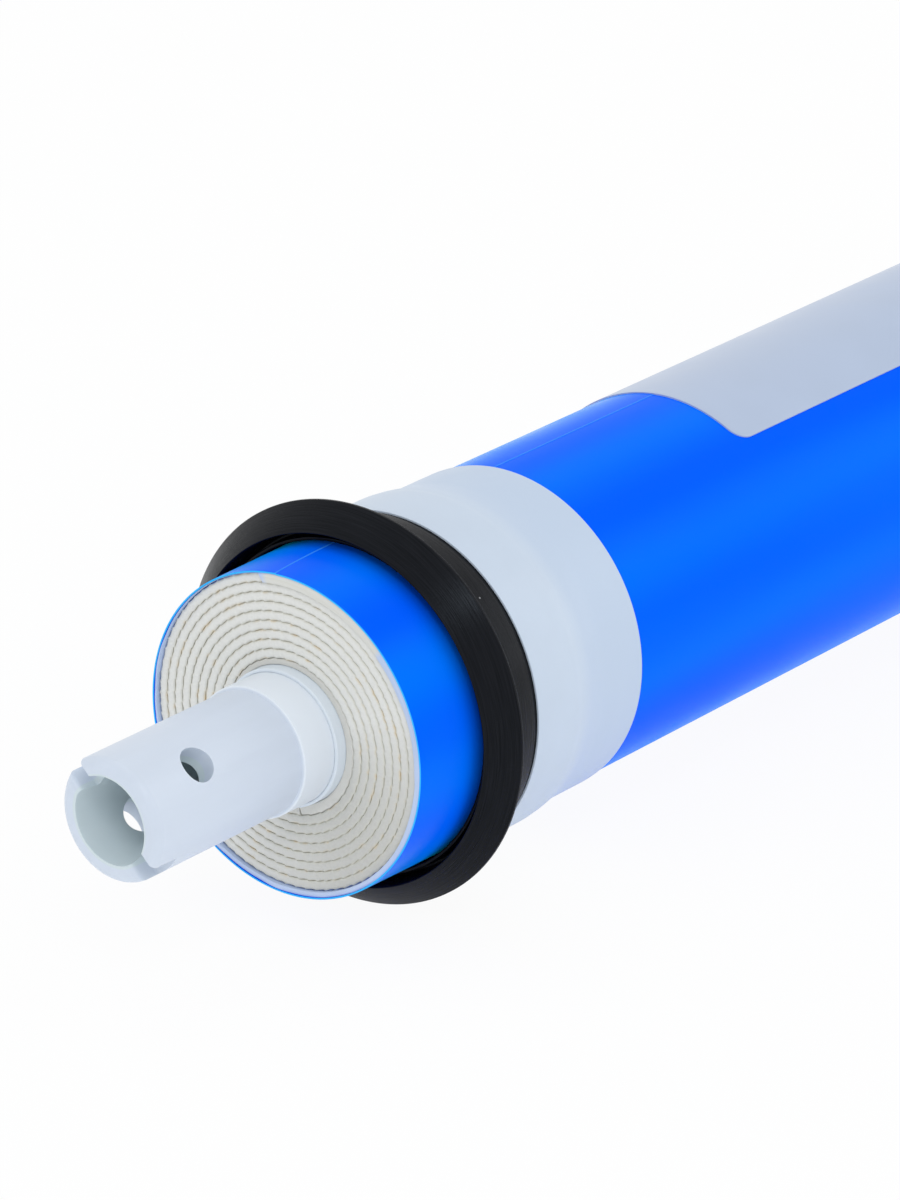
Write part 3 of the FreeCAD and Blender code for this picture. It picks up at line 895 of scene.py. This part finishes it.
class ELEMENT_OT_jacket(ElementOperator):
    """Adds the white jacket between the winding and the film"""

    bl_idname = "element.add_jacket"
    bl_label = "Jacket"

    def build(self, scene):
        """A section turned once about the axis, between the winding's last turn and the film.

        The inner radius grows by a pitch in one turn and steps back where the winding ends. The rims at the
        seal end stand a little higher or lower as a smooth chance value of the turn.
        """
        settings = scene.element_winding
        film = scene.element_film
        last = math.pi * settings.half_turns
        run = np.linspace(last - 2 * math.pi, last, 300, endpoint=False)[::-1]
        x, z = spiral_point(run, settings.leaf + settings.spacer - 0.05 * MM, settings)
        radius = np.hypot(x, z)
        under = film.thickness + ROOM
        rim = np.full(len(run), film.end_radius - under)
        body = np.full(len(run), film.body_radius - under)
        inner = np.minimum(radius, rim - 0.06 * MM)
        soft = 0.2 * (rim - inner)
        radii = [inner, inner + soft, rim - soft, rim, body]
        recess = settings.jacket_recess
        inner_worn, outer_worn = recess + 0.08 * MM, recess + 0.06 * MM
        depths = np.array([inner_worn, recess, recess, outer_worn, film.taper])
        uneven = 0.08 * MM * wandering(run, 0.12, seed=13)[:, None]
        at_seal_end = np.arange(10) < 4
        y = np.concatenate([face_y + depths, product_face_y - depths[::-1]]) + uneven * at_seal_end
        grid = np.stack(radii + radii[::-1], 1)
        points = np.stack([grid * (x / radius)[:, None], y, grid * (z / radius)[:, None]], -1)
        piece("jacket_sheet", skin(points), jacket_finish(settings), "wrap_white", "inner_wrap")


class ELEMENT_OT_film(ElementOperator):
    """Adds the blue film with its free edge"""

    bl_idname = "element.add_film"
    bl_label = "Blue film"

    def build(self, scene):
        """One turn of a thin section.

        The growth is the lap's height times one minus the turn from the free edge over the lap's arc. The
        free edge bends sideways near the seal end by the skew times a falling exponential of the station.
        """
        settings = scene.element_film
        wall = settings.thickness
        bevel = 0.03 * MM
        stations = np.concatenate([np.linspace(bevel, 9 * MM, 10), [settings.taper]])
        stations = np.concatenate([stations, roll_length - stations[::-1]])
        ease = np.clip(np.minimum(stations, roll_length - stations) / settings.taper, 0, 1)
        radius = settings.end_radius + (settings.body_radius - settings.end_radius) * ease
        rim = np.array([[settings.end_radius - bevel, 0.0], [settings.end_radius - wall, 0.0]])
        outer = np.stack([radius, stations], 1)
        inner = np.stack([radius[::-1] - wall, stations[::-1]], 1)
        outline = np.concatenate([outer, rim + np.array([0.0, roll_length]), inner, rim[::-1]])
        outline = anticlockwise(outline + np.array([0.0, face_y]))
        near_edge = np.array([0.0, 0.10, 0.22, 0.45]) * MM / settings.body_radius
        between = np.linspace(0.05, 2 * math.pi - 0.02, 230)
        sweep = np.concatenate([near_edge, between, 2 * math.pi - near_edge[:0:-1]])
        fade = np.clip(1 - sweep / settings.lap_arc, 0, 1)[:, None]
        station = outline[:, 1] - face_y
        skew = settings.lap_skew / settings.body_radius * np.exp(-station / settings.skew_reach)
        angles = settings.lap_angle + sweep[:, None] - skew[None] * np.cos(sweep[:, None] / 2) ** 2
        radial = outline[None, :, 0] + settings.lap_height * fade
        x = radial * np.cos(angles)
        z = radial * np.sin(angles)
        y = np.broadcast_to(outline[:, 1], x.shape)
        surface = skin(np.stack([x, y, z], -1))
        film = piece("film_skin", surface, film_finish(settings), "film_blue", "outer_film")
        pale = np.zeros(x.shape)
        pale[:3] = np.array([1.0, 0.9, 0.0])[:, None]
        marked(film, "free_edge", pale)
        at_rim = np.minimum(station, roll_length - station) < 0.01 * MM
        marked(film, "cut_rim", np.broadcast_to(at_rim, x.shape))


class ELEMENT_OT_seal(ElementOperator):
    """Adds the brine seal: a rubber cup with a flared lip, a groove, a collar and a tail"""

    bl_idname = "element.add_seal"
    bl_label = "Brine seal"

    def build(self, scene):
        """A rounded section turned about the axis.

        The lip's back is hollowed by half a sine. The soft lip is out of round: its radius shrinks by a closed
        ripple, weighted by how far a point stands out between the collar and the lip.
        """
        seal = scene.element_seal
        hollow = np.linspace(0, 1, 9)[1:-1]
        back_start = np.array([seal.lip_radius, seal.lip_edge + seal.lip_land])
        back_end = np.array([seal.collar_radius, seal.lip_root])
        hollowed = np.array([seal.hollow_inwards, seal.hollow_forwards])
        back = back_start + hollow[:, None] * (back_end - back_start)
        back -= np.sin(hollow * math.pi)[:, None] * hollowed
        front = [
            (seal.seat_radius, seal.tail_end), (seal.seat_radius, seal.base_front),
            (seal.base_radius, seal.base_front), (seal.base_radius, seal.groove_bottom),
            (seal.base_radius + seal.groove_width, seal.groove_bottom),
            (seal.mouth_radius, seal.lip_front), (seal.lip_radius, seal.lip_edge),
            tuple(back_start),
        ]
        rear = [
            tuple(back_end), (seal.collar_radius, seal.collar_end), (seal.tail_radius, seal.collar_end),
            (seal.tail_radius, seal.tail_shoulder), (seal.seat_radius + seal.tail_edge, seal.tail_end),
        ]
        corners = front + [tuple(point) for point in back] + rear
        front_rounds = [0.05, 0.1, 0.12, 0.25, 0.25, 0.10, 0.13, 0.15]
        rear_rounds = [0.4, 0.12, 0.05, 0.3, 0.03]
        radii = front_rounds + [0.0] * len(back) + rear_rounds
        outline = rounded(corners, np.array(radii) * MM, steps=6)
        outline = anticlockwise(outline + np.array([0.0, face_y]))
        angles = around(288)
        stands = np.clip((outline[:, 0] - seal.collar_radius) / (seal.lip_radius - seal.collar_radius), 0, 1)
        sag = (harmonics(angles, (2, 3, 4), seed=31) - 1) * 0.5 * seal.out_of_round
        surface = skin(revolved(outline, angles, sag[:, None] * stands[None]))
        piece("cup_seal", surface, rubber_finish(seal), "seal_rubber", "brine_seal", crease=math.radians(40))


class ELEMENT_OT_tape(ElementOperator):
    """Adds the white tape over the seal's tail"""

    bl_idname = "element.add_tape"
    bl_label = "White tape"

    def build(self, scene):
        """A thin section turned about the axis.

        It follows the seal's tail and comes down to the film as three times the share squared less twice its
        cube. A shallow crease is a bell curve about its station.
        """
        settings = scene.element_tape
        seal = scene.element_seal
        low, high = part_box("seal_tape")
        start, end = low.y - face_y, high.y - face_y
        on_tail = seal.tail_radius + settings.clearance
        on_film = seal.seat_radius
        over_tail = np.linspace(start, seal.tail_shoulder, 12)
        past_tail = np.linspace(seal.tail_shoulder, end, 34)
        stations = np.concatenate([over_tail, past_tail[1:]])
        step_end = seal.tail_end + settings.step_length
        share = np.clip((stations - seal.tail_shoulder) / (step_end - seal.tail_shoulder), 0, 1)
        ease = share * share * (3 - 2 * share)
        inner_radius = on_tail + (on_film - on_tail) * ease
        crease = settings.crease_depth * np.exp(-((stations - settings.crease) / settings.crease_width) ** 2)
        outer_radius = inner_radius + settings.thickness - crease
        outer = np.stack([outer_radius, stations], 1)
        inner = np.stack([inner_radius, stations], 1)[::-1]
        front_worn, rear_worn, worn_width = 0.06 * MM, 0.04 * MM, 0.05 * MM
        outer[[0, -1], 0] -= np.array([front_worn, rear_worn])
        outer[1, 1] = start + worn_width
        outline = anticlockwise(np.concatenate([outer, inner]) + np.array([0.0, face_y]))
        surface = skin(revolved(outline, around(240)))
        piece("tape_band", surface, tape_finish(settings), "tape_white", "seal_tape", crease=math.radians(50))


class ELEMENT_OT_label(ElementOperator):
    """Adds the blank label"""

    bl_idname = "element.add_label"
    bl_label = "Blank label"

    def build(self, scene):
        """A thin curved sheet swept along the axis.

        Near each end the sheet's half width shrinks by c minus the root of c squared minus (c minus d)
        squared, for the corner's radius c and the distance d from the end, which rounds its corners. Its sides
        thin out in two straight slopes, and its underside lies on the film.
        """
        settings = scene.element_label
        low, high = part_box("label")
        corner = settings.corner
        swing = np.linspace(0, math.pi / 2, 10)
        near = corner * (1 - np.cos(swing))
        span = high.y - low.y
        along = np.concatenate([near, np.linspace(corner, span - corner, 24)[1:-1], span - near[::-1]])
        gap = np.minimum(np.minimum(along, span - along), corner)
        shrink = corner - np.sqrt(np.maximum(corner ** 2 - (corner - gap) ** 2, 0))
        half = settings.width / 2 - shrink
        rim = 1 - np.array([0.0, 1 / 3, 1.0]) * settings.rim / (settings.width / 2)
        share = np.concatenate([-rim, np.linspace(-0.97, 0.97, 86), rim[::-1]])
        thick = settings.thickness * np.interp(1 - np.abs(share), 1 - rim, [0.25, 0.75, 1.0])
        inner = scene.element_film.body_radius
        outer = scene.element_seal.seat_radius + np.tile(thick, (len(along), 1))
        middle = settings.angle + settings.width / 2 / inner
        over = middle + half[:, None] * share[None] / inner
        angles = np.concatenate([over, over[:, ::-1]], 1)
        radius = np.concatenate([outer, np.full(over.shape, inner)], 1)
        y = np.broadcast_to((low.y + along)[:, None], angles.shape)
        points = np.stack([radius * np.cos(angles), y, radius * np.sin(angles)], -1)
        surface = skin(points[:, ::-1], closed_sweep=False)
        piece("blank_label", surface, label_finish(settings), "label_white", "label", crease=math.radians(50))


class ELEMENT_OT_rings(ElementOperator):
    """Adds the two O-rings on the product spigot"""

    bl_idname = "element.add_rings"
    bl_label = "O-rings"

    def build(self, scene):
        """A circle of the cord's radius turned about the axis, once for each groove."""
        settings = scene.element_rings
        finish = ring_finish(settings)
        for node in ("inner_o_ring", "outer_o_ring"):
            low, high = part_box(node)
            cord_radius = settings.cord / 2
            swing = around(28)
            centre = np.array([high.x - cord_radius, (low.y + high.y) / 2])
            outline = centre + cord_radius * np.stack([np.cos(swing), np.sin(swing)], 1)
            surface = skin(revolved(anticlockwise(outline), around(120)))
            piece(node + "_cord", surface, finish, "o_ring_rubber", node)


class ELEMENT_OT_studio(ElementOperator):
    """Sets up the floor, the lights, the white surroundings and the camera"""

    bl_idname = "element.add_studio"
    bl_label = "Studio"

    def build(self, scene):
        """The whole stage, with colours shown as they are."""
        settings = scene.element_studio
        self.floor(settings)
        self.surroundings(scene, settings)
        self.lamps(scene)
        self.camera(scene, settings)
        scene.view_settings.view_transform = "Standard"

    def floor(self, settings):
        """A plain pale floor under the lip.

        The camera sees most of it as plain white, and the rest shows shadow. To the element a part of it
        glows, like a lit table, so that the underside isn't dark.
        """
        half = settings.floor_size / 2
        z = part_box("brine_seal")[0].z - 0.2 * MM
        mesh = bpy.data.meshes.new("floor")
        corners = [(-half, -half, z), (half, -half, z), (half, half, z), (-half, half, z)]
        mesh.from_pydata(corners, [], [(0, 1, 2, 3)])
        finish = Finish("pale_floor", Roughness=0.9, Specular_IOR_Level=0.1)
        cloud = finish.noise(finish.place(), scale=30.0)
        finish.paint(finish.mix(cloud, (0.86, 0.87, 0.88, 1.0), (0.90, 0.91, 0.92, 1.0)))
        seen = finish.add("LightPath", "Is Camera Ray")
        strength = finish.spread(seen, settings.floor_strength, 1.0, 0.0, 1.0)
        white = finish.add("Emission", "Emission", {"Color": (1.0, 1.0, 1.0, 1.0), "Strength": strength})
        share = finish.spread(seen, settings.floor_glow, settings.floor_white, 0.0, 1.0)
        inputs = {0: share, 1: finish.shader.outputs["BSDF"], 2: white}
        mixed = finish.add("MixShader", "Shader", inputs)
        finish.feed(finish.tree.nodes["Material Output"], {"Surface": mixed})
        mesh.materials.append(finish.material)
        floor = bpy.data.objects.new("studio_floor", mesh)
        bpy.context.scene.collection.objects.link(floor)

    def surroundings(self, scene, settings):
        """White to the camera and in reflections, softer as light."""
        world = bpy.data.worlds.new("white_studio")
        world.use_nodes = True
        scene.world = world
        tree = world.node_tree
        background = tree.nodes["Background"]
        background.inputs["Color"].default_value = (1.0, 1.0, 1.0, 1.0)
        path = tree.nodes.new("ShaderNodeLightPath")
        seen = tree.nodes.new("ShaderNodeMath")
        seen.operation = "MAXIMUM"
        tree.links.new(path.outputs["Is Camera Ray"], seen.inputs[0])
        tree.links.new(path.outputs["Is Glossy Ray"], seen.inputs[1])
        level = tree.nodes.new("ShaderNodeMapRange")
        level.inputs["To Min"].default_value = settings.sky_level
        level.inputs["To Max"].default_value = 1.0
        tree.links.new(seen.outputs[0], level.inputs["Value"])
        tree.links.new(level.outputs["Result"], background.inputs["Strength"])

    def lamps(self, scene):
        """Three soft boxes facing the seal end, each with its place, width, height and power in watts."""
        aim = Vector((0.0, face_y / 2, 0.0))
        boxes = {
            "key_box": ((0.66, -0.80, 0.95), 0.40, 0.28, 2.6),
            "side_box": ((0.71, 1.08, 0.54), 0.30, 1.1, 1.5),
            "top_box": ((-0.30, -0.10, 1.30), 0.9, 0.9, 1.2),
        }
        for name, (place, wide, high, power) in boxes.items():
            lamp = bpy.data.lights.new(name, "AREA")
            lamp.shape = "RECTANGLE"
            lamp.size = wide
            lamp.size_y = high
            lamp.energy = power
            thing = bpy.data.objects.new(name, lamp)
            thing.location = place
            thing.rotation_euler = (aim - Vector(place)).to_track_quat("-Z", "Y").to_euler()
            scene.collection.objects.link(thing)

    def camera(self, scene, settings):
        """The photo's view, fitted to its outlines."""
        camera = bpy.data.cameras.new("camera")
        camera.lens = settings.camera_lens
        camera.clip_end = 20.0
        thing = bpy.data.objects.new("camera", camera)
        thing.location = settings.camera_place
        thing.rotation_euler = (math.pi / 2 - settings.camera_elevation, 0.0, settings.camera_azimuth)
        scene.collection.objects.link(thing)
        scene.camera = thing


OPERATORS = (
    ELEMENT_OT_tube,
    ELEMENT_OT_core_tape,
    ELEMENT_OT_leaf,
    ELEMENT_OT_core_cloth,
    ELEMENT_OT_net,
    ELEMENT_OT_jacket,
    ELEMENT_OT_film,
    ELEMENT_OT_seal,
    ELEMENT_OT_tape,
    ELEMENT_OT_label,
    ELEMENT_OT_rings,
    ELEMENT_OT_studio,
)


class ELEMENT_PT_panel(bpy.types.Panel):
    """Lists the element's pieces and its studio"""

    bl_idname = "ELEMENT_PT_panel"
    bl_label = "Reverse osmosis element"
    bl_space_type = "VIEW_3D"
    bl_region_type = "UI"
    bl_category = "Element"

    def draw(self, context):
        """One button for each operator."""
        for operator in OPERATORS:
            self.layout.operator(operator.bl_idname, text=operator.bl_label)


def register():
    """Give the scene its settings, and make the operators and the panel known."""
    for group in SETTINGS.values():
        bpy.utils.register_class(group)
    for name, group in SETTINGS.items():
        setattr(bpy.types.Scene, name, PointerProperty(type=group))
    for operator in OPERATORS:
        bpy.utils.register_class(operator)
    bpy.utils.register_class(ELEMENT_PT_panel)


def unregister():
    """Undo what register did."""
    bpy.utils.unregister_class(ELEMENT_PT_panel)
    for operator in reversed(OPERATORS):
        bpy.utils.unregister_class(operator)
    for name in SETTINGS:
        delattr(bpy.types.Scene, name)
    for group in SETTINGS.values():
        bpy.utils.unregister_class(group)


def main():
    """Add every piece and the studio."""
    register()
    for operator in OPERATORS:
        group, name = operator.bl_idname.split(".")
        getattr(getattr(bpy.ops, group), name)()


if __name__ == "__main__":
    main()
